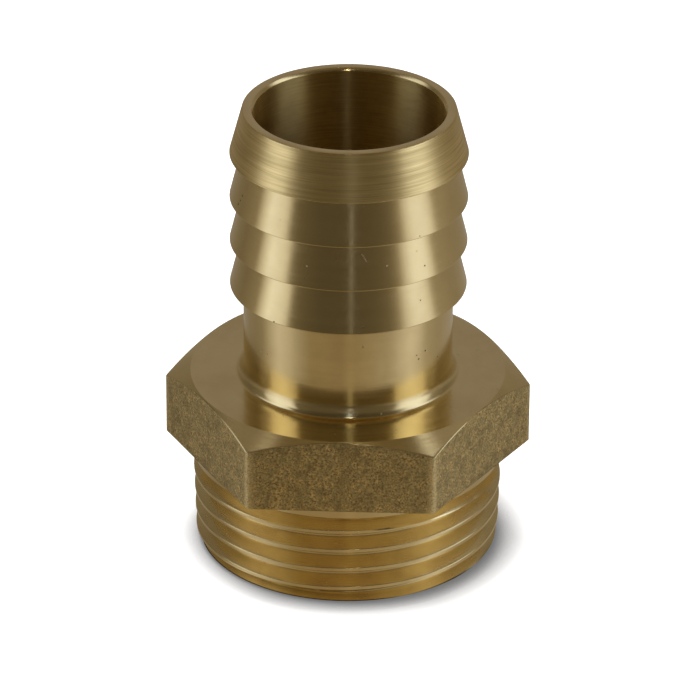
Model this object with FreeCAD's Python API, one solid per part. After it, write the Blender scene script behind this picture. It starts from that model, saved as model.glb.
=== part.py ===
import FreeCAD, Part
import math
import os

# A male hose barb tail for a 25 mm hose, with a 1 inch taper pipe thread, in brass.
# The real one is a single piece: the hexagon's flats are left as cast and the rest is turned.
# Lengths are in millimetres. It stands on its threaded end, with its axis along +Z and its
# origin at the centre of the end face.

# Bore, straight through
bore_radius = 10.0
bore_mouth_chamfer = 0.3
bore_end_chamfer = 0.6

# Hose spigot: saw-tooth barbs above a plain neck
barb_count = 4
barb_pitch = 5.05
barb_radius = 12.6
barb_root_radius = 11.35
rim_radius = 11.25
neck_radius = 11.15
neck_length = 10.35
neck_fillet = 1.8
neck_fillet_facets = 3

# Hexagon, with a turned top face and a chamfer turned on its corners
hex_across_flats = 34.0
hex_height = 8.2
hex_corner_round = 0.6
hex_face_margin = 0.15
hex_chamfer_angle = 30.0
hex_stock_margin = 1.0
hex_turn = -2.4

# Taper pipe thread, size 1, eleven threads to the inch, right-handed
thread_length = 11.5
thread_pitch = 2.309
thread_major_diameter = 33.249
thread_gauge_length = 10.39
thread_taper_on_diameter = 1.0 / 16.0
thread_depth = 1.479
thread_flank_angle = 27.5
thread_root_width = 0.385
thread_groove_overshoot = 0.3
thread_end_chamfer = 0.5
thread_crest_height_at_front = 1.82

# Plain collar under the hexagon, and the relief groove that the thread runs out into
collar_length = 1.1
relief_width = 0.7
relief_depth = 1.4
relief_wall_angle = 27.5

# Heights above the end face
hex_bottom = thread_length
hex_top = hex_bottom + hex_height
collar_bottom = hex_bottom - collar_length
total_height = hex_top + neck_length + barb_count * barb_pitch

upwards = FreeCAD.Vector(0, 0, 1)


def crest_radius(height):
    """Radius over the thread crests at a height above the end face."""
    gauge_radius = thread_major_diameter / 2
    return gauge_radius + (height - thread_gauge_length) * thread_taper_on_diameter / 2


def hex_corner_radius():
    """Distance from the axis to a sharp corner of the hexagon."""
    return hex_across_flats / 2 / math.cos(math.radians(30))


def barbs():
    """Outline of the barbs from the mouth down: each flares to a sharp edge, then steps in."""
    corners = [(rim_radius, total_height)]
    for number in range(1, barb_count + 1):
        edge_height = total_height - number * barb_pitch
        step_radius = neck_radius if number == barb_count else barb_root_radius
        corners.append((barb_radius, edge_height))
        corners.append((step_radius, edge_height))
    return corners


def neck_foot():
    """Outline of the fillet from the neck to the hexagon's top face, as short cones."""
    corners = []
    for step in range(neck_fillet_facets + 1):
        angle = math.radians(90) * step / neck_fillet_facets
        radius = neck_radius + neck_fillet * (1 - math.cos(angle))
        height = hex_top + neck_fillet * (1 - math.sin(angle))
        corners.append((radius, height))
    return corners


def hexagon():
    """Outline of the hexagon's top face and chamfer, turned on stock wider than its corners."""
    stock_radius = hex_corner_radius() + hex_stock_margin
    face_radius = hex_across_flats / 2 - hex_face_margin
    chamfer_drop = (stock_radius - face_radius) * math.tan(math.radians(hex_chamfer_angle))
    return [(face_radius, hex_top), (stock_radius, hex_top - chamfer_drop), (stock_radius, hex_bottom)]


def thread_blank():
    """Outline below the hexagon: collar, relief groove, and the taper that the thread is cut in."""
    floor_radius = crest_radius(collar_bottom) - relief_depth
    floor_end = collar_bottom - relief_width
    wall_end = floor_end - relief_depth * math.tan(math.radians(relief_wall_angle))
    return [
        (crest_radius(hex_bottom), hex_bottom),
        (crest_radius(collar_bottom), collar_bottom),
        (floor_radius, collar_bottom),
        (floor_radius, floor_end),
        (crest_radius(wall_end), wall_end),
        (crest_radius(thread_end_chamfer), thread_end_chamfer),
        (crest_radius(0) - thread_end_chamfer, 0),
    ]


def turned_body():
    """Everything that the lathe cuts, as one revolved outline."""
    corners = [(bore_radius, 0), (bore_radius, total_height)]
    corners += barbs() + neck_foot() + hexagon() + thread_blank()
    points = [FreeCAD.Vector(radius, 0, height) for radius, height in corners]
    outline = Part.makePolygon(points + points[:1])
    return Part.Face(outline).revolve(FreeCAD.Vector(0, 0, 0), upwards, 360)


def hexagon_bar():
    """Bar of hexagon section with rounded corners, as tall as the part."""
    points = []
    for corner in range(7):
        angle = math.radians(60 * corner + hex_turn)
        points.append(FreeCAD.Vector(math.cos(angle), math.sin(angle), 0) * hex_corner_radius())
    bar = Part.Face(Part.makePolygon(points)).extrude(upwards * total_height)
    upright_edges = [edge for edge in bar.Edges if edge.BoundBox.ZLength > total_height / 2]
    return bar.makeFillet(hex_corner_round, upright_edges)


def thread_groove():
    """Helical groove between the crests, from below the end face up to the collar."""
    # The crest height is given at the front, a quarter turn before the helix's start.
    start_height = thread_crest_height_at_front + thread_pitch / 4 - thread_pitch / 2 - 2 * thread_pitch
    helix_height = hex_bottom + thread_pitch - start_height
    taper_angle = math.degrees(math.atan(thread_taper_on_diameter / 2))
    helix = Part.makeLongHelix(thread_pitch, helix_height, crest_radius(start_height), taper_angle)
    # The section reaches beyond the crests, so that it cuts the surface cleanly.
    root_radius = crest_radius(start_height) - thread_depth
    mouth_radius = crest_radius(start_height) + thread_groove_overshoot
    root_half = thread_root_width / 2
    mouth_half = root_half + (mouth_radius - root_radius) * math.tan(math.radians(thread_flank_angle))
    section = Part.makePolygon([
        FreeCAD.Vector(root_radius, 0, -root_half),
        FreeCAD.Vector(root_radius, 0, root_half),
        FreeCAD.Vector(mouth_radius, 0, mouth_half),
        FreeCAD.Vector(mouth_radius, 0, -mouth_half),
        FreeCAD.Vector(root_radius, 0, -root_half),
    ])
    groove = Part.Wire(helix.Edges).makePipeShell([section], True, True)
    groove.translate(upwards * start_height)
    reach = 2 * thread_length
    below_collar = Part.makeCylinder(hex_across_flats, collar_bottom + reach, upwards * -reach)
    return groove.common(below_collar)


def bore_chamfer(height, depth, direction):
    """Cone that breaks the edge of the bore at an end face."""
    centre = upwards * height
    return Part.makeCone(bore_radius + depth, bore_radius, depth, centre, direction)


def hose_tail():
    """The whole fitting: turned within the hexagon bar, threaded, and its bore edges broken."""
    body = turned_body().common(hexagon_bar())
    body = body.cut(thread_groove())
    body = body.cut(bore_chamfer(total_height, bore_mouth_chamfer, -upwards))
    body = body.cut(bore_chamfer(0, bore_end_chamfer, upwards))
    return body.removeSplitter().Solids[0]


os.makedirs("parts", exist_ok=True)
fitting = hose_tail()
fitting.exportStep("parts/hose_tail.step")
print("hose_tail valid", fitting.isValid(), "volume", round(fitting.Volume), "mm3")
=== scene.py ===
import bmesh
import bpy
import math
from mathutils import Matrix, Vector


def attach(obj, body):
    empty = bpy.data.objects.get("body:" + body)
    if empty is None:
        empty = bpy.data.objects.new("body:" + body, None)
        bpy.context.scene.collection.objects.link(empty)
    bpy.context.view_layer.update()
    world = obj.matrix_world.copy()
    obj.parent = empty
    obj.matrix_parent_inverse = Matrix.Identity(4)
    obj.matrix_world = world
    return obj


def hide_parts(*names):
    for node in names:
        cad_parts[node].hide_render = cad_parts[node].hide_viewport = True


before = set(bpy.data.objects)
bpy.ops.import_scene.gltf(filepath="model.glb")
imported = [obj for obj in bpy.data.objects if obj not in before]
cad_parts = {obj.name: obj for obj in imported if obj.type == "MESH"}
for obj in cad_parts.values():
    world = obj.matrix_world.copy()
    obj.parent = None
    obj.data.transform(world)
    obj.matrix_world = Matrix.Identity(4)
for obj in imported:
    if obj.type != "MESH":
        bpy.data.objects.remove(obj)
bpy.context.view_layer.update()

# The turned outline of the fitting, from the bore out over the barbs, neck and hexagon to the end face.
# The real one is a single brass casting, held by its hexagon and turned all over but for the flats.
# Sizes are in millimetres from the axis and above the end face; each corner gets the rounding a tool leaves.
MM = 0.001
TURN = 2 * math.pi
BORE_RADIUS = 10.0
BORE_MOUTH_CHAMFER = 0.3
BORE_END_CHAMFER = 0.6
BARB_COUNT = 4
BARB_PITCH = 5.05
BARB_RADIUS = 12.6
BARB_ROOT_RADIUS = 11.35
RIM_RADIUS = 11.25
NECK_RADIUS = 11.15
NECK_LENGTH = 10.35
NECK_FILLET = 1.78
FILLET_SHOULDER = 0.61
FILLET_REACH = 0.68
HEX_BOTTOM = 11.5
HEX_HEIGHT = 8.2
HEX_FACE_RADIUS = 16.85
HEX_STOCK_RADIUS = 20.6
CHAMFER_SLOPE = math.tan(math.radians(30))
COLLAR_BOTTOM = 10.4
RELIEF_WIDTH = 0.7
RELIEF_DEPTH = 1.47
RELIEF_STEP = 0.15
GAUGE_RADIUS = 33.249 / 2
GAUGE_HEIGHT = 10.39
TAPER = 1 / 32
THREAD_FLANK = math.radians(27.5)
END_RADIUS = 15.85
HEX_TOP = HEX_BOTTOM + HEX_HEIGHT
TOTAL_HEIGHT = HEX_TOP + NECK_LENGTH + BARB_COUNT * BARB_PITCH

CORNER_ROUNDING = 0.05
MOUTH_ROUNDING = 0.06
RIM_ROUNDING = 0.15
BARB_ROUNDING = 0.09
FOOT_ROUNDING = 0.28
COLLAR_TOP_ROUNDING = 0.1
COLLAR_EDGE_ROUNDING = 0.12
FILLET_STEPS = 10
ROUNDING_STEP = math.radians(22)
LONG_STRETCH = 0.9
HEX_STRETCH_CUTS = 7
BESIDE_CORNER = 0.08
CORNER_SLACK = 0.01


def crest_radius(height):
    """Radius over the thread crests of a 1 inch taper pipe thread."""
    return GAUGE_RADIUS + (height - GAUGE_HEIGHT) * TAPER


def blank_radius(height):
    """Radius of the turned blank that the thread is cut in: end chamfer, taper and relief groove."""
    below_collar = RELIEF_STEP + (COLLAR_BOTTOM - height) / math.tan(THREAD_FLANK)
    above_wall = RELIEF_DEPTH - (COLLAR_BOTTOM - RELIEF_WIDTH - height) / math.tan(THREAD_FLANK)
    relief = max(0, min(RELIEF_DEPTH, below_collar, above_wall))
    return min(crest_radius(height) - relief, END_RADIUS + height)


# Each corner of the outline: its radius, its height and its rounding.
outline = [
    (BORE_RADIUS, BORE_END_CHAMFER, CORNER_ROUNDING),
    (BORE_RADIUS, TOTAL_HEIGHT - BORE_MOUTH_CHAMFER, MOUTH_ROUNDING),
    (BORE_RADIUS + BORE_MOUTH_CHAMFER, TOTAL_HEIGHT, MOUTH_ROUNDING),
    (RIM_RADIUS, TOTAL_HEIGHT, RIM_ROUNDING),
]
for number in range(1, BARB_COUNT + 1):
    edge_height = TOTAL_HEIGHT - number * BARB_PITCH
    step_radius = NECK_RADIUS if number == BARB_COUNT else BARB_ROOT_RADIUS
    outline += [(BARB_RADIUS, edge_height, BARB_ROUNDING), (step_radius, edge_height, CORNER_ROUNDING)]
chamfer_foot = HEX_TOP - (HEX_STOCK_RADIUS - HEX_FACE_RADIUS) * CHAMFER_SLOPE
outline += [
    (NECK_RADIUS, HEX_TOP + FILLET_SHOULDER, NECK_FILLET),
    (NECK_RADIUS + FILLET_REACH, HEX_TOP, FOOT_ROUNDING),
    (HEX_FACE_RADIUS, HEX_TOP, 0),
    (HEX_STOCK_RADIUS, chamfer_foot, 0),
    (HEX_STOCK_RADIUS, HEX_BOTTOM, 0),
    (crest_radius(HEX_BOTTOM), HEX_BOTTOM, COLLAR_TOP_ROUNDING),
    (crest_radius(COLLAR_BOTTOM), COLLAR_BOTTOM, COLLAR_EDGE_ROUNDING),
    (blank_radius(COLLAR_BOTTOM), COLLAR_BOTTOM, 0),
]
ends = [(blank_radius(0), 0, 0), (BORE_RADIUS + BORE_END_CHAMFER, 0, CORNER_ROUNDING)]

fitting = bmesh.new()
corners = [fitting.verts.new((radius * MM, 0, height * MM)) for radius, height, rounding in outline]
end_corners = [fitting.verts.new((radius * MM, 0, height * MM)) for radius, height, rounding in ends]
for upper, lower in zip(corners, corners[1:]):
    fitting.edges.new((upper, lower))
fitting.edges.new(end_corners)
fitting.edges.new((end_corners[1], corners[0]))
for corner, (radius, height, rounding) in zip(corners + end_corners, outline + ends):
    if rounding:
        towards = [(edge.other_vert(corner).co - corner.co).normalized() for edge in corner.link_edges]
        half_angle = towards[0].angle(towards[1]) / 2
        steps = math.ceil((math.pi - 2 * half_angle) / ROUNDING_STEP)
        bmesh.ops.bevel(fitting, geom=[corner], offset=rounding * MM / math.tan(half_angle),
                        offset_type="OFFSET", segments=FILLET_STEPS if rounding == NECK_FILLET else steps,
                        profile=0.5, affect="VERTICES", material=-1)
# The hexagon's part is cut up for its shaping; elsewhere a loop beside each corner keeps the shading straight.
for edge in list(fitting.edges):
    length = edge.calc_length() / MM
    nearest = min(vertex.co.x for vertex in edge.verts) / MM
    if length > LONG_STRETCH and nearest > HEX_FACE_RADIUS - CORNER_SLACK:
        bmesh.ops.subdivide_edges(fitting, edges=[edge], cuts=HEX_STRETCH_CUTS)
    elif length > LONG_STRETCH:
        first, last = edge.verts
        beside_first = bmesh.utils.edge_split(edge, first, BESIDE_CORNER / length)[1]
        rest = [other for other in beside_first.link_edges if last in other.verts][0]
        bmesh.utils.edge_split(rest, last, BESIDE_CORNER / length)

COLUMNS = 360
bmesh.ops.spin(fitting, geom=fitting.verts[:] + fitting.edges[:], cent=(0, 0, 0), axis=(0, 0, 1),
               angle=TURN, steps=COLUMNS, use_merge=True)

# The male taper thread, one right-handed groove cut round the foot in about four turns.
# Its rows climb with the thread, as the cutting tool does, and stop at the end face and the relief groove.
THREAD_PITCH = 2.309
THREAD_DEPTH = 1.479
THREAD_FLAT = 0.385
THREAD_CREST_AT_FRONT = 1.82
CREST_ROUNDING = 0.045
ROOT_ROUNDING = 0.12
FLANK_ROWS = [0.4, 0.56, 0.72]
ROWS_BEYOND_END = 0.2
SPUN_RADIUS = 15


def eased(distance, width):
    """A ramp that starts at nought, with its corner rounded over a width to each side."""
    if abs(distance) < width:
        return (distance + width) ** 2 / (4 * width)
    return max(0, distance)


def thread_depth(along):
    """Depth below the crests of the 55 degree thread form, at a distance along the axis from a crest."""
    across = abs((along + THREAD_PITCH / 2) % THREAD_PITCH - THREAD_PITCH / 2)
    from_crest = eased(across - THREAD_FLAT / 2, CREST_ROUNDING)
    from_root = eased(across - THREAD_FLAT / 2 - THREAD_DEPTH * math.tan(THREAD_FLANK), ROOT_ROUNDING)
    return (from_crest - from_root) / math.tan(THREAD_FLANK)


def thread_radius(height, angle):
    """Radius of the threaded surface at a height and an angle round the axis."""
    if height > COLLAR_BOTTOM - RELIEF_WIDTH:
        return blank_radius(height)
    crest_height = THREAD_CREST_AT_FRONT + THREAD_PITCH * (angle + TURN / 4) / TURN
    cut = crest_radius(height) - thread_depth(height - crest_height)
    lip = END_RADIUS - height / math.tan(THREAD_FLANK)
    return min(blank_radius(height), max(cut, lip))


def rows_of_rounding(middle, width):
    """Rows of the mesh across a rounding."""
    return [middle + width * share for share in (-1, -0.33, 0.33, 1)]


crest_end = THREAD_FLAT / 2
root_start = crest_end + THREAD_DEPTH * math.tan(THREAD_FLANK)
rows_in_half_pitch = [0] + rows_of_rounding(crest_end, CREST_ROUNDING) + FLANK_ROWS
rows_in_half_pitch += rows_of_rounding(root_start, ROOT_ROUNDING) + [THREAD_PITCH / 2]
mirrored_rows = [THREAD_PITCH - along for along in rows_in_half_pitch[1:]]
rows_in_pitch = sorted(set(rows_in_half_pitch[:-1] + mirrored_rows))
crest_at_start = THREAD_CREST_AT_FRONT + THREAD_PITCH / 4
rows = [crest_at_start + turn * THREAD_PITCH + along for turn in range(-3, 6) for along in rows_in_pitch]
lowest, highest = -THREAD_PITCH - ROWS_BEYOND_END, COLLAR_BOTTOM + ROWS_BEYOND_END
rows = [height for height in rows if lowest < height < highest]

# The rows are spun at one radius, and each vertex is brought to the thread's surface with the hexagon's shaping.
thread = bmesh.new()
strand = [thread.verts.new((SPUN_RADIUS * MM, 0, height * MM)) for height in rows]
for lower, upper in zip(strand, strand[1:]):
    thread.edges.new((lower, upper))
bmesh.ops.spin(thread, geom=thread.verts[:] + thread.edges[:], cent=(0, 0, 0), axis=(0, 0, 1),
               dvec=(0, 0, THREAD_PITCH * MM / COLUMNS), angle=TURN, steps=COLUMNS)

# The hexagon for a 34 mm spanner: the flats keep the skin of the casting, and a chamfer is turned on the corners.
# Columns of the mesh are gathered at the six upright corners, and its wall is brought in to the hexagon.
HEX_ACROSS_FLATS = 33.998
HEX_CORNER_ROUND = 0.6
HEX_TURN = math.radians(-2.4)
SEXTANT = math.radians(60)
GATHERED_FROM = math.radians(8)
GATHERED_TO = math.radians(1.2)
SLACK = 0.002
FACE_INSET = 0.2
HEX_MIDDLE = HEX_BOTTOM + HEX_HEIGHT / 2
corner_centre = (HEX_ACROSS_FLATS / 2 - HEX_CORNER_ROUND) / math.cos(SEXTANT / 2)
corner_half = math.atan2(HEX_CORNER_ROUND / 2, corner_centre + HEX_CORNER_ROUND * math.cos(SEXTANT / 2))


def from_corner(angle):
    """Angle from the nearest corner of the hexagon."""
    return (angle - HEX_TURN + SEXTANT / 2) % SEXTANT - SEXTANT / 2


def gathered(angle):
    """Angle of a column after the columns are gathered at the corners."""
    offset = from_corner(angle)
    size = abs(offset)
    if size < GATHERED_FROM:
        moved = size * GATHERED_TO / GATHERED_FROM
    else:
        wide_to, wide_from = SEXTANT / 2 - GATHERED_TO, SEXTANT / 2 - GATHERED_FROM
        moved = GATHERED_TO + (size - GATHERED_FROM) * wide_to / wide_from
    return angle - offset + math.copysign(moved, offset)


def hexagon_radius(angle):
    """Distance from the axis to the hexagon's wall."""
    offset = abs(from_corner(angle))
    if offset > corner_half:
        return HEX_ACROSS_FLATS / 2 / math.cos(SEXTANT / 2 - offset)
    aside = corner_centre * math.sin(offset)
    return corner_centre * math.cos(offset) + math.sqrt(HEX_CORNER_ROUND ** 2 - aside ** 2)


def move_to(vertex, angle, radius, height):
    """Move a vertex to an angle round the axis, a radius and a height."""
    vertex.co = Vector((radius * math.cos(angle), radius * math.sin(angle), height)) * MM


for vertex in thread.verts:
    angle = math.atan2(vertex.co.y, vertex.co.x)
    new_angle = gathered(angle)
    height = vertex.co.z / MM + THREAD_PITCH * (new_angle - angle) / TURN
    height = min(max(height, 0), COLLAR_BOTTOM)
    move_to(vertex, new_angle, thread_radius(height, new_angle), height)

collar_radius = crest_radius(HEX_BOTTOM)
end_inner, end_outer = BORE_RADIUS + BORE_END_CHAMFER, blank_radius(0)
for vertex in fitting.verts:
    radius = math.hypot(vertex.co.x, vertex.co.y) / MM
    height = vertex.co.z / MM
    angle = gathered(math.atan2(vertex.co.y, vertex.co.x))
    wall = hexagon_radius(angle)
    if abs(radius - HEX_STOCK_RADIUS) < SLACK:
        # The upright wall, up to the curved edge of the chamfer
        share = (height - HEX_BOTTOM) / (chamfer_foot - HEX_BOTTOM)
        edge_height = HEX_TOP - (wall - HEX_FACE_RADIUS) * CHAMFER_SLOPE
        radius = wall
        height = HEX_BOTTOM + share * (edge_height - HEX_BOTTOM)
    elif height > HEX_MIDDLE and radius > HEX_FACE_RADIUS + SLACK:
        # The chamfer
        share = (radius - HEX_FACE_RADIUS) / (HEX_STOCK_RADIUS - HEX_FACE_RADIUS)
        radius = HEX_FACE_RADIUS + share * (wall - HEX_FACE_RADIUS)
        height = HEX_TOP - (radius - HEX_FACE_RADIUS) * CHAMFER_SLOPE
    elif abs(height - HEX_BOTTOM) < SLACK and radius > collar_radius:
        # The underside
        share = (radius - collar_radius) / (HEX_STOCK_RADIUS - collar_radius)
        radius = collar_radius + share * (wall - collar_radius)
    elif abs(height - COLLAR_BOTTOM) < SLACK and radius < blank_radius(COLLAR_BOTTOM) + SLACK:
        # The seam between the collar and the relief groove
        radius = thread_radius(COLLAR_BOTTOM, angle)
    elif height < SLACK and radius > end_inner + FACE_INSET:
        # The end face, out to the thread
        share = (radius - end_inner) / (end_outer - end_inner)
        radius = end_inner + share * (thread_radius(0, angle) - end_inner)
    move_to(vertex, angle, radius, height)

threaded = bpy.data.meshes.new("threaded")
thread.to_mesh(threaded)
thread.free()
fitting.from_mesh(threaded)
bpy.data.meshes.remove(threaded)
bmesh.ops.remove_doubles(fitting, verts=fitting.verts, dist=0.001 * MM)
bmesh.ops.dissolve_degenerate(fitting, edges=fitting.edges, dist=0.0005 * MM)
bmesh.ops.recalc_face_normals(fitting, faces=fitting.faces)

# The zones of the fitting: which tool or mould made each face, and where its corners are rubbed bright.
# The same brass shows in all of them, turned, brushed, cast, threaded or bored.
TURNED, BRUSHED, CAST, THREADED, BORED = range(5)
RUBBED_OUT_FROM_FLAT = 2.46
RUBBED_WIDTH = 0.25
CAST_RIM_ROUNDING = 0.07
SHARP = math.radians(24)
UPRIGHT_LEAN = 0.3
THREAD_INSIDE = 14
HEIGHT_SLACK = 0.01
WALL_SLACK = 0.02
RIM_SLACK = 0.03
rubbed = fitting.verts.layers.float.new("rubbed")
for face in fitting.faces:
    centre = face.calc_center_median() / MM
    radius = math.hypot(centre.x, centre.y)
    upright = abs(face.normal.z) < UPRIGHT_LEAN
    if HEIGHT_SLACK < centre.z < COLLAR_BOTTOM and radius > THREAD_INSIDE:
        face.material_index = THREADED
    elif HEX_BOTTOM - HEIGHT_SLACK < centre.z < HEX_TOP and radius > HEX_FACE_RADIUS and upright:
        face.material_index = CAST
    elif radius < BORE_RADIUS + WALL_SLACK:
        face.material_index = BORED
    elif centre.z > TOTAL_HEIGHT - BARB_PITCH + WALL_SLACK and radius > RIM_RADIUS - RIM_SLACK:
        face.material_index = BRUSHED
for vertex in fitting.verts:
    out_from_flat = hexagon_radius(math.atan2(vertex.co.y, vertex.co.x)) - HEX_ACROSS_FLATS / 2
    vertex[rubbed] = min(1, max(0, 1 - (RUBBED_OUT_FROM_FLAT - out_from_flat) / RUBBED_WIDTH))
# The rims between the cast flats and the turned faces are broken a little.
rim_edges = [edge for edge in fitting.edges
             if len({face.material_index for face in edge.link_faces} & {CAST}) == 1
             and len({face.material_index for face in edge.link_faces}) == 2]
bmesh.ops.bevel(fitting, geom=rim_edges, offset=CAST_RIM_ROUNDING * MM, offset_type="OFFSET", segments=2,
                profile=0.5, affect="EDGES", material=-1)

for face in fitting.faces:
    face.smooth = True
for edge in fitting.edges:
    edge.smooth = len(edge.link_faces) == 2 and edge.calc_face_angle() < SHARP


def object_of(name, shape):
    """Make an object of a bmesh and put it into the scene."""
    mesh = bpy.data.meshes.new(name)
    shape.to_mesh(mesh)
    shape.free()
    piece = bpy.data.objects.new(name, mesh)
    bpy.context.scene.collection.objects.link(piece)
    return piece


hose_barb_tail = object_of("hose_barb_tail", fitting)
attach(hose_barb_tail, "root")
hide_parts("hose_tail")

# The turned finish of the barbs, neck and hexagon top: satin brass with the fine rings of a lathe tool.
# Rings are level on every turned surface, so they follow the height less the radius; pits and specks mark it.
BRASS = (0.80, 0.65, 0.33)
TARNISH = (0.66, 0.50, 0.24)
DIRT = (0.2, 0.14, 0.06)
PAINTED_GLINT = (0.98, 0.9, 0.66)


def feed(tree, kind, *values, **settings):
    """Add a node with its settings, feed its first inputs with sockets or numbers, and give its first output."""
    node = tree.nodes.new(kind)
    for name, value in settings.items():
        setattr(node, name, value)
    for socket, value in zip(node.inputs, values):
        if isinstance(value, bpy.types.NodeSocket):
            tree.links.new(value, socket)
        elif value is not None:
            socket.default_value = value
    return node.outputs[0]


def sum_up(tree, operation, *values):
    """One step of arithmetic between sockets or numbers."""
    return feed(tree, "ShaderNodeMath", *values, operation=operation)


def spread(tree, value, low, high, to_low, to_high):
    """A value carried from one range to another, and held inside it."""
    return feed(tree, "ShaderNodeMapRange", value, low, high, to_low, to_high)


def tint(tree, share, first, second):
    """A colour between two colours or colour sockets."""
    node = tree.nodes.new("ShaderNodeMix")
    node.data_type = "RGBA"
    tree.links.new(share, node.inputs[0])
    for socket, colour in zip(node.inputs[6:8], (first, second)):
        if isinstance(colour, tuple):
            socket.default_value = (*colour, 1)
        else:
            tree.links.new(colour, socket)
    return node.outputs[2]


def brass(name, anisotropy):
    """A brass finish: its tree, its shader, its place in object coordinates, and its tool-ring coordinate."""
    material = bpy.data.materials.new(name)
    material.use_nodes = True
    tree = material.node_tree
    shader = tree.nodes["Principled BSDF"]
    shader.inputs["Metallic"].default_value = 1
    shader.inputs["Anisotropic"].default_value = anisotropy
    shader.inputs["Anisotropic Rotation"].default_value = 0.25
    if anisotropy:
        tangent = feed(tree, "ShaderNodeTangent", direction_type="RADIAL", axis="Z")
        tree.links.new(tangent, shader.inputs["Tangent"])
    hose_barb_tail.data.materials.append(material)
    coordinates = tree.nodes.new("ShaderNodeTexCoord")
    place = coordinates.outputs["Object"]
    flat_place = feed(tree, "ShaderNodeVectorMath", place, (1, 1, 0), operation="MULTIPLY")
    radius = tree.nodes.new("ShaderNodeVectorMath")
    radius.operation = "LENGTH"
    tree.links.new(flat_place, radius.inputs[0])
    split = tree.nodes.new("ShaderNodeSeparateXYZ")
    tree.links.new(place, split.inputs[0])
    ring = sum_up(tree, "SUBTRACT", split.outputs["Z"], radius.outputs["Value"])
    return tree, shader, place, ring


def clouds(tree, place, to_the_metre, detail=3.0, roughness=0.6):
    """Cloudy unevenness, with so many clouds to the metre."""
    return feed(tree, "ShaderNodeTexNoise", place, None, to_the_metre, detail, roughness)


def streaks(tree, place, ring, length, width):
    """Scratches along the turning: clouds drawn out round the axis, in metres long and wide."""
    flat_place = feed(tree, "ShaderNodeVectorMath", place, (1 / length, 1 / length, 0), operation="MULTIPLY")
    across = sum_up(tree, "MULTIPLY", ring, 1 / width)
    combined = feed(tree, "ShaderNodeCombineXYZ", 0.0, 0.0, across)
    seat = feed(tree, "ShaderNodeVectorMath", flat_place, combined, operation="ADD")
    return clouds(tree, seat, 1.0, detail=2.0)


def cut_bump(tree, shader, height, distance):
    """Feed a relief to the shader, its height in metres."""
    bump = tree.nodes.new("ShaderNodeBump")
    bump.inputs["Strength"].default_value = 1.0
    bump.inputs["Distance"].default_value = distance
    tree.links.new(height, bump.inputs["Height"])
    tree.links.new(bump.outputs["Normal"], shader.inputs["Normal"])


def marks(tree, place, spots):
    """One where any of the spots lies, each given in millimetres with its radius."""
    mask = None
    for x, y, z, size in spots:
        away = tree.nodes.new("ShaderNodeVectorMath")
        away.operation = "DISTANCE"
        tree.links.new(place, away.inputs[0])
        away.inputs[1].default_value = (x * MM, y * MM, z * MM)
        spot = spread(tree, away.outputs["Value"], 0.4 * size * MM, size * MM, 1.0, 0.0)
        mask = spot if mask is None else sum_up(tree, "MAXIMUM", mask, spot)
    return mask


tree, shader, place, ring = brass("turned_brass", 0.45)
rings = streaks(tree, place, ring, length=0.012, width=0.00011)
broad = streaks(tree, place, ring, length=0.008, width=0.0007)
patina = clouds(tree, place, 160.0)
pits = marks(tree, place, [
    (8.15, -7.6, 25.72, 0.16), (7.24, -8.48, 25.61, 0.11), (7.46, -8.29, 25.07, 0.14), (9.51, -5.83, 24.1, 0.12),
    (-11.1, -4.75, 42.31, 0.16), (-11.3, -4.62, 41.68, 0.15), (-11.55, -4.4, 41.17, 0.18),
    (7.37, -10.14, 40.4, 0.08), (7.95, -9.3, 36.56, 0.12), (7.54, -9.31, 32.53, 0.1), (-7.74, -9.9, 30.18, 0.12)])
# A short scratch down the third barb, and single ticks, painted near white as highlights
painted_glints = marks(tree, place, [
    (1.42, -11.56, 38.92, 0.09), (1.53, -11.59, 38.75, 0.1), (1.64, -11.62, 38.57, 0.1), (1.74, -11.65, 38.4, 0.1),
    (1.85, -11.68, 38.22, 0.08), (4.01, -11.31, 37.52, 0.12), (-4.31, -11.23, 37.39, 0.12),
    (3.55, -11.0, 19.96, 0.13)])
specks = spread(tree, clouds(tree, place, 1500.0, detail=1.0, roughness=0.5), 0.77, 0.82, 0.0, 0.35)
dirt = sum_up(tree, "MAXIMUM", pits, specks)
worn = tint(tree, spread(tree, patina, 0.42, 0.68, 0.0, 0.4), BRASS, TARNISH)
soiled = tint(tree, dirt, worn, DIRT)
tree.links.new(tint(tree, painted_glints, soiled, PAINTED_GLINT), shader.inputs["Base Color"])
rough = sum_up(tree, "ADD", spread(tree, broad, 0.3, 0.7, 0.12, 0.2), spread(tree, patina, 0.4, 0.7, 0.0, 0.05))
marked = sum_up(tree, "MULTIPLY", sum_up(tree, "MAXIMUM", dirt, painted_glints), 0.35)
tree.links.new(sum_up(tree, "ADD", rough, marked), shader.inputs["Roughness"])
relief = sum_up(tree, "SUBTRACT", rings, sum_up(tree, "MULTIPLY", pits, 3.0))
cut_bump(tree, shader, relief, 0.0000035)

# The first barb, brushed with coarse cloth after turning, so its rings are wider and its highlights ragged.
# Its brass is a little lighter where the cloth has cut, and the brushing spreads the light up and down.
CUT_BRASS = (0.93, 0.74, 0.35)
DULL_BRASS = (0.61, 0.47, 0.2)
tree, shader, place, ring = brass("brushed_brass", 0.85)
coarse = streaks(tree, place, ring, length=0.011, width=0.0003)
fine = streaks(tree, place, ring, length=0.007, width=0.0001)
patina = clouds(tree, place, 220.0)
brushing = spread(tree, sum_up(tree, "ADD", coarse, fine), 0.75, 1.25, 0.75, 0.0)
tree.links.new(tint(tree, brushing, CUT_BRASS, DULL_BRASS), shader.inputs["Base Color"])
tree.links.new(spread(tree, sum_up(tree, "ADD", coarse, patina), 0.7, 1.3, 0.47, 0.35), shader.inputs["Roughness"])
cut_bump(tree, shader, sum_up(tree, "ADD", coarse, sum_up(tree, "MULTIPLY", fine, 0.5)), 0.000012)

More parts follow.
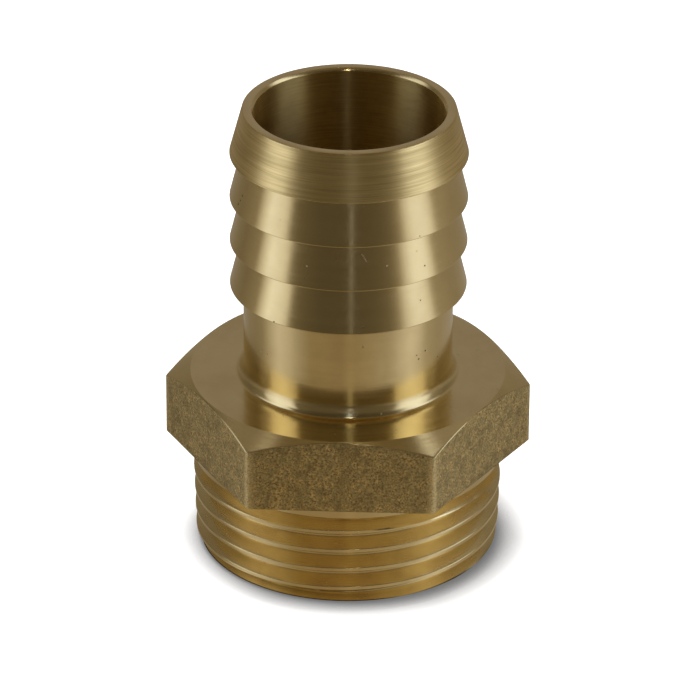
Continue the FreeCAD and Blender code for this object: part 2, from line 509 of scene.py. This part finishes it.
# The hexagon's flats, left as the mould cast them: a dull, sandy skin, mottled and pitted.
# Spanners and handling have rubbed its upright corners bright.
SAND_HOLLOW = (0.22, 0.158, 0.065)
SAND_GRAIN = (0.98, 0.75, 0.33)
OLIVE = (0.38, 0.34, 0.165)
BROWN = (0.23, 0.17, 0.075)
tree, shader, place, ring = brass("cast_brass", 0.0)
grain = clouds(tree, place, 5000.0, roughness=0.7)
mottle = clouds(tree, place, 900.0, detail=2.0)
hue = clouds(tree, place, 1700.0, detail=2.0, roughness=0.5)
sandy = tint(tree, spread(tree, grain, 0.36, 0.66, 0.0, 1.0), SAND_HOLLOW, SAND_GRAIN)
olive = tint(tree, spread(tree, hue, 0.4, 0.62, 0.0, 0.45), sandy, OLIVE)
shaded = tint(tree, spread(tree, mottle, 0.46, 0.7, 0.0, 0.5), olive, BROWN)
corner_wear = tree.nodes.new("ShaderNodeAttribute")
corner_wear.attribute_name = "rubbed"
bright = sum_up(tree, "MULTIPLY", corner_wear.outputs["Fac"], spread(tree, grain, 0.35, 0.6, 0.3, 0.9))
tree.links.new(tint(tree, bright, shaded, BRASS), shader.inputs["Base Color"])
tree.links.new(spread(tree, grain, 0.35, 0.65, 0.42, 0.6), shader.inputs["Roughness"])
cut_bump(tree, shader, sum_up(tree, "ADD", grain, sum_up(tree, "MULTIPLY", mottle, 1.5)), 0.00006)

# The thread, cut with a form tool, keeps faint rings along its flanks.
# Its brass is tarnished in patches, and a little duller than the turned faces.
tree, shader, place, ring = brass("threaded_brass", 0.3)
drag = streaks(tree, place, ring, length=0.01, width=0.0002)
patina = clouds(tree, place, 260.0)
worn = tint(tree, spread(tree, patina, 0.42, 0.66, 0.0, 0.5), BRASS, TARNISH)
tree.links.new(worn, shader.inputs["Base Color"])
tree.links.new(spread(tree, sum_up(tree, "ADD", drag, patina), 0.7, 1.3, 0.17, 0.28), shader.inputs["Roughness"])
cut_bump(tree, shader, drag, 0.000005)

# The bore, drilled and reamed: fine rings all the way down, and duller than the outside.
# The rings spread the light along the bore and hardly across it.
# Its brass is partly tarnished and partly painted darker and yellower than the outside's, as painted shade deep in
# the bore; stains vary at random.
REAMED_BRASS_IN_PAINTED_SHADE = (0.75, 0.56, 0.21)
STAINED_BRASS_IN_PAINTED_SHADE = (0.57, 0.4, 0.145)
tree, shader, place, ring = brass("bored_brass_in_painted_shade", 1.0)
reamed = streaks(tree, place, ring, length=0.005, width=0.00022)
patina = clouds(tree, place, 200.0)
stain = spread(tree, sum_up(tree, "ADD", reamed, patina), 0.75, 1.25, 0.0, 0.8)
tree.links.new(tint(tree, stain, REAMED_BRASS_IN_PAINTED_SHADE, STAINED_BRASS_IN_PAINTED_SHADE), shader.inputs["Base Color"])
tree.links.new(spread(tree, reamed, 0.35, 0.65, 0.31, 0.39), shader.inputs["Roughness"])
cut_bump(tree, shader, reamed, 0.000004)

# The studio as the metal sees it: a dim room, a tall softbox on each side, and a table top of warm grey board.
# It is one shell round the fitting, lit by direction, and only glossy reflections see it.
BOARD_LIFT = 0.05
ROOM_OUTLINE = [(0, BOARD_LIFT), (20, BOARD_LIFT), (60, BOARD_LIFT), (200, BOARD_LIFT), (1500, BOARD_LIFT),
                (1500, 900), (1400, 1500), (1000, 2000), (500, 2200), (0, 2250)]
FOOT_REACH = 0.018
NEAREST_REACH = 0.02
ROOM_COLUMNS = 96
room_shape = bmesh.new()
knots = [room_shape.verts.new((radius * MM, 0, height * MM)) for radius, height in ROOM_OUTLINE]
for lower, upper in zip(knots, knots[1:]):
    room_shape.edges.new((lower, upper))
bmesh.ops.spin(room_shape, geom=room_shape.verts[:] + room_shape.edges[:], cent=(0, 0, 0), axis=(0, 0, 1),
               angle=TURN, steps=ROOM_COLUMNS, use_merge=True)
bmesh.ops.remove_doubles(room_shape, verts=room_shape.verts, dist=0.01 * MM)
bmesh.ops.recalc_face_normals(room_shape, faces=room_shape.faces)
room = object_of("room", room_shape)
room_light = bpy.data.materials.new("room_light")
room_light.use_nodes = True
tree = room_light.node_tree
tree.nodes.clear()
coordinates = tree.nodes.new("ShaderNodeTexCoord")
place = coordinates.outputs["Object"]
split = tree.nodes.new("ShaderNodeSeparateXYZ")
tree.links.new(place, split.inputs[0])
across, towards, up = split.outputs
reach = sum_up(tree, "SQRT", sum_up(tree, "ADD", sum_up(tree, "MULTIPLY", across, across),
                                    sum_up(tree, "MULTIPLY", towards, towards)))
side = sum_up(tree, "ARCTAN2", across, sum_up(tree, "MULTIPLY", towards, -1.0))
side = sum_up(tree, "DIVIDE", side, TURN)
# Close to the fitting, a point of the board stands for a direction further round.
nearness = sum_up(tree, "DIVIDE", FOOT_REACH, sum_up(tree, "MAXIMUM", reach, NEAREST_REACH))
nearness = sum_up(tree, "POWER", nearness, 2.0)
near_side = sum_up(tree, "MULTIPLY", side, sum_up(tree, "ADD", nearness, 1.0))


def ring_of_light(tree, around, stops):
    """Light by direction: stops of degrees to the right of the front, with a brightness or a colour.

    Dim light is warm from the board, and bright light is the cool white of the softboxes.
    """
    ramp = tree.nodes.new("ShaderNodeValToRGB")
    tree.links.new(sum_up(tree, "ADD", around, 0.5), ramp.inputs[0])
    elements = ramp.color_ramp.elements
    while len(elements) < len(stops):
        elements.new(0.5)
    for element, (degrees, light) in zip(elements, stops):
        if not isinstance(light, tuple):
            light = (light, light * (0.8 + 0.25 * light), light * (0.5 + 0.72 * light))
        element.position = degrees / 360 + 0.5
        element.color = (*light, 1)
    return ramp.outputs[0]


def lamp_spot(tree, place, degrees, climb, size):
    """One inside a small round lamp in the room's wall, at an angle right of the front and an angle up."""
    turned, raised = math.radians(degrees), math.radians(climb)
    direction = (math.sin(turned) * math.cos(raised), -math.cos(turned) * math.cos(raised), math.sin(raised))
    unit = feed(tree, "ShaderNodeVectorMath", place, operation="NORMALIZE")
    facing = tree.nodes.new("ShaderNodeVectorMath")
    facing.operation = "DOT_PRODUCT"
    tree.links.new(unit, facing.inputs[0])
    facing.inputs[1].default_value = direction
    edge, middle = math.cos(math.radians(size)), math.cos(math.radians(size * 0.7))
    return spread(tree, facing.outputs["Value"], edge, middle, 0.0, 1.0)


# Rings of the room from its foot up, each with the softboxes at both sides and a narrow slit of light in front.
BACK = (0.285, 0.255, 0.24)
walls = ring_of_light(tree, side, [
    (-180, 0.27), (-150, 0.26), (-118, 0.19), (-95, 0.27), (-90, 0.56), (-85, 0.8), (-79, 1.0), (-66, 0.86),
    (-59, 0.68), (-55, 0.22), (-48, 0.14), (-38, 0.11), (-25, 0.085), (2.3, 0.085), (2.5, 0.22), (3.0, 0.22),
    (3.2, 0.085), (25, 0.11), (38, 0.16), (46, 0.24), (50, 0.42), (56, 0.7), (62, 0.93), (70, 0.98), (78, 0.92),
    (84, 0.7), (88, 0.42), (93, 0.33), (120, 0.27), (180, 0.3)])
upper_walls = ring_of_light(tree, side, [
    (-180, BACK), (-160, 0.24), (-118, 0.13), (-96, 0.2), (-91, 0.85), (-79, 1.05), (-62, 0.95), (-58, 0.7),
    (-55, 0.15), (-38, 0.11), (2.2, 0.11), (2.5, 1.1), (3.1, 1.1), (3.4, 0.11), (38, 0.12), (50, 0.18), (55, 0.85),
    (62, 1.1), (80, 1.15), (91, 0.9), (96, 0.25), (118, 0.17), (150, 0.25), (180, BACK)])
high_walls = ring_of_light(tree, side, [
    (-180, 0.22), (-118, 0.16), (-112, 0.9), (-85, 1.1), (-72, 0.95), (-66, 0.12), (-38, 0.07), (2.0, 0.06),
    (2.3, 1.6), (3.1, 1.6), (3.4, 0.06), (38, 0.08), (64, 0.12), (69, 0.95), (80, 1.2), (112, 1.1), (119, 0.28),
    (180, 0.24)])
cove = ring_of_light(tree, side, [
    (-180, 0.22), (-130, 0.24), (-95, 0.17), (-50, 0.06), (1.8, 0.055), (2.2, 2.2), (3.2, 2.2), (3.6, 0.055),
    (50, 0.07), (95, 0.2), (130, 0.3), (180, 0.24)])
cards = ring_of_light(tree, side, [
    (-180, 0.2), (-138, 0.25), (-132, 0.5), (-108, 0.5), (-100, 0.2), (0, 0.1), (94, 0.2), (100, 0.75),
    (122, 0.75), (128, 0.25), (180, 0.2)])
board = ring_of_light(tree, near_side, [
    (-180, 0.33), (-150, 0.27), (-122, 0.24), (-108, 0.28), (-96, 0.46), (-82, 0.63), (-66, 0.52), (-52, 0.37),
    (-42, (0.31, 0.25, 0.17)), (-6, (0.31, 0.24, 0.165)), (2.6, (0.38, 0.31, 0.22)), (8, (0.34, 0.275, 0.195)),
    (28, (0.38, 0.32, 0.25)), (45, 0.42), (60, 0.57), (73, 0.67), (85, 0.58), (96, 0.4), (114, 0.33), (180, 0.35)])
CEILING = (0.15, 0.115, 0.065)
PAINTED_SHADE_UNDER_FOOT = (0.03, 0.02, 0.01)
# Each ring starts between two steepnesses, given as height over distance from the axis.
steepness = sum_up(tree, "DIVIDE", up, reach)
light = walls
for low, high, ring_above in ((0.05, 0.12, upper_walls), (0.58, 0.74, high_walls), (1.03, 1.13, cove),
                              (1.88, 1.96, cards), (2.3, 2.45, CEILING)):
    light = tint(tree, spread(tree, steepness, low, high, 0.0, 1.0), light, ring_above)
# One small lamp is nearly overhead, a little behind, and another is above the slit in front.
for degrees, climb, size, colour in ((163, 82, 2.6, (2.0, 1.7, 1.2)), (4, 61, 1.5, (12.0, 10.5, 8.0))):
    light = tint(tree, lamp_spot(tree, place, degrees, climb, size), light, colour)
# Close in the warm board takes over from the walls, and under the fitting's foot lies a dark disc of painted
# shade.
for near, far, below in ((0.065, 0.12, board), (0.0160, 0.0166, PAINTED_SHADE_UNDER_FOOT)):
    light = tint(tree, spread(tree, reach, near, far, 1.0, 0.0), light, below)
glow = tree.nodes.new("ShaderNodeEmission")
tree.links.new(light, glow.inputs["Color"])
out = tree.nodes.new("ShaderNodeOutputMaterial")
tree.links.new(glow.outputs[0], out.inputs["Surface"])
room.data.materials.append(room_light)
room.visible_camera = False
room.visible_diffuse = False
room.visible_shadow = False
room.visible_transmission = False

# The white table that the camera sees, under a bright even sky with a soft lamp a little behind it to the left.
# It is overexposed as in a catalogue picture, so the lamp's shadow hardly shows; close round the foot a shadow is
# painted into its colour.
TABLE_SIZE = 3
TABLE_GLOW = 0.45
SHADE_REACH = 0.0044
SHADE_LEAN = (-0.28, 0.28, 0.92)
SHADE = (0.2, 0.205, 0.215)
WHITE = (1.0, 1.0, 1.0)
SKY = (0.8, 0.8, 0.8)
floor_shape = bmesh.new()
bmesh.ops.create_grid(floor_shape, x_segments=1, y_segments=1, size=TABLE_SIZE)
floor = object_of("floor", floor_shape)
floor_white = bpy.data.materials.new("floor_white")
floor_white.use_nodes = True
tree = floor_white.node_tree
tree.nodes.clear()


def seen_rays(tree):
    """One for rays from the camera, from glossy reflections and through clear materials."""
    rays = tree.nodes.new("ShaderNodeLightPath")
    seen = sum_up(tree, "MAXIMUM", rays.outputs["Is Camera Ray"], rays.outputs["Is Glossy Ray"])
    return sum_up(tree, "MAXIMUM", seen, rays.outputs["Is Transmission Ray"])


# Close to the foot a shadow is painted into the table's colour, by how much of the sky the fitting hides, and most
# at its front and right.
near_foot = tree.nodes.new("ShaderNodeAmbientOcclusion")
near_foot.samples = 16
near_foot.inputs["Distance"].default_value = SHADE_REACH
tree.links.new(feed(tree, "ShaderNodeCombineXYZ", *SHADE_LEAN), near_foot.inputs["Normal"])
open_share = spread(tree, near_foot.outputs["AO"], 0.4, 0.98, 0.0, 1.0)
shade = tint(tree, open_share, SHADE, WHITE)
chalk = tree.nodes.new("ShaderNodeBsdfDiffuse")
tree.links.new(shade, chalk.inputs["Color"])
glow = tree.nodes.new("ShaderNodeEmission")
tree.links.new(shade, glow.inputs["Color"])
tree.links.new(sum_up(tree, "MULTIPLY", seen_rays(tree), TABLE_GLOW), glow.inputs["Strength"])
both = tree.nodes.new("ShaderNodeAddShader")
tree.links.new(chalk.outputs[0], both.inputs[0])
tree.links.new(glow.outputs[0], both.inputs[1])
out = tree.nodes.new("ShaderNodeOutputMaterial")
tree.links.new(both.outputs[0], out.inputs["Surface"])
floor.data.materials.append(floor_white)

LAMP_STRENGTH = 1.2
LAMP_SPREAD = math.radians(30)
LAMP_FROM = (-0.16, 0.1, 1)
lamp_data = bpy.data.lights.new("lamp", "SUN")
lamp_data.energy = LAMP_STRENGTH
lamp_data.angle = LAMP_SPREAD
lamp = bpy.data.objects.new("lamp", lamp_data)
lamp.rotation_euler = Vector(LAMP_FROM).to_track_quat("Z", "Y").to_euler()
lamp.visible_glossy = False
bpy.context.scene.collection.objects.link(lamp)

world = bpy.data.worlds.new("surroundings")
world.use_nodes = True
tree = world.node_tree
tree.links.new(tint(tree, seen_rays(tree), SKY, WHITE), tree.nodes["Background"].inputs["Color"])
bpy.context.scene.world = world

# The camera at the photograph's angle, looking down by 27.5 degrees and tipped by a third of a degree.
# It stands well back, with a long lens.
LENS = 269.5
SENSOR = 36
CAMERA_DISTANCE = 0.56
LOOK_DOWN = math.radians(27.49)
TIP = math.radians(0.36)
AIM = Vector((0.00022, 0, 0.02178))
camera_data = bpy.data.cameras.new("camera")
camera_data.sensor_width = SENSOR
camera_data.lens = LENS
camera_data.clip_start = 0.01
camera = bpy.data.objects.new("camera", camera_data)
bpy.context.scene.collection.objects.link(camera)
camera.location = AIM + CAMERA_DISTANCE * Vector((0, -math.cos(LOOK_DOWN), math.sin(LOOK_DOWN)))
camera.rotation_mode = "ZYX"
camera.rotation_euler = (TURN / 4 - LOOK_DOWN, 0, TIP)
bpy.context.scene.camera = camera

bpy.context.scene.view_settings.view_transform = "Standard"
